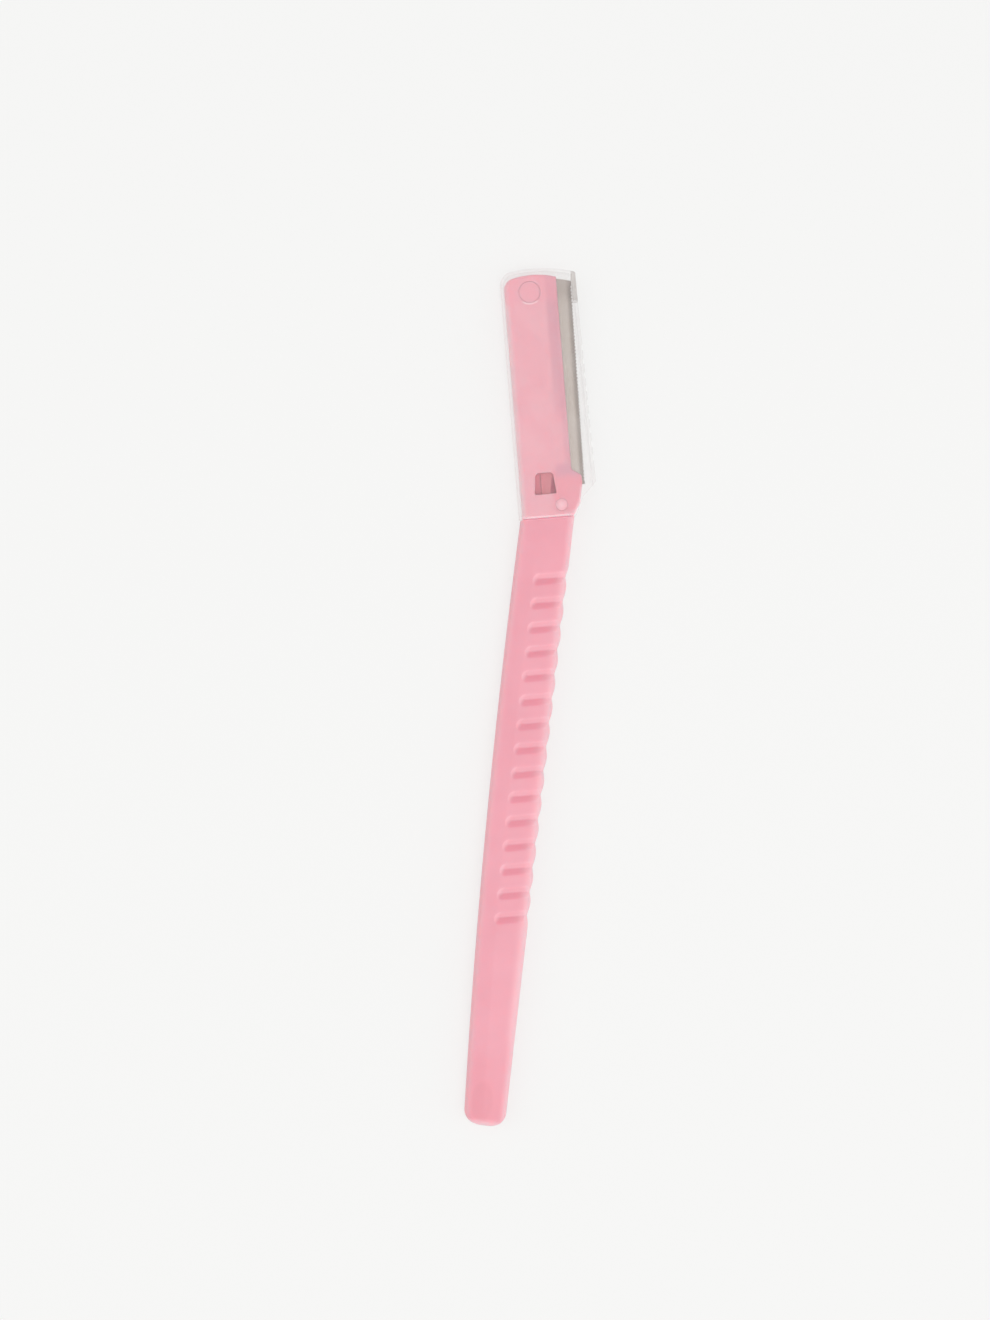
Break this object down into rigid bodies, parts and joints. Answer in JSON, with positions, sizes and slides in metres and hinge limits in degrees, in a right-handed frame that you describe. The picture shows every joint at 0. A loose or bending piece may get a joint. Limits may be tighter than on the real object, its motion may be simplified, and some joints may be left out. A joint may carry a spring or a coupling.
{
  "type": "eyebrow razor",
  "caption": "Slim eyebrow razor: notched plastic handle, leaning flat head with a guarded steel blade along its edge, and a clear slide-on cap.",
  "frame": {"origin": "on the flat back of the grip, on the handle's lengthwise axis, at 45 percent of the handle's length below the mouth of the cap", "axes": "+Y along the handle from the tail to the head, +X towards the blade's side, +Z out of the front face, away from the surface that the razor lies on"},
  "size_m": [0.0203, 0.1493, 0.0048],
  "materials": {
    "handle_plastic": "satin, slightly translucent pastel pink",
    "blade_steel": "fine ground stainless strip",
    "guard_foil": "thin slotted steel foil",
    "cap_plastic": "clear, polished"
  },
  "bodies": {
    "razor": {"handle": "handle_plastic", "head_cover": "handle_plastic", "blade": "blade_steel", "guard": "guard_foil"},
    "cap": {"cap": "cap_plastic"}
  },
  "joints": [
    {"name": "cap_slide", "type": "slide", "parent": "razor", "child": "cap", "axis": [-0.1925, 0.9813, 0], "range_m": [0, 0.045]}
  ]
}
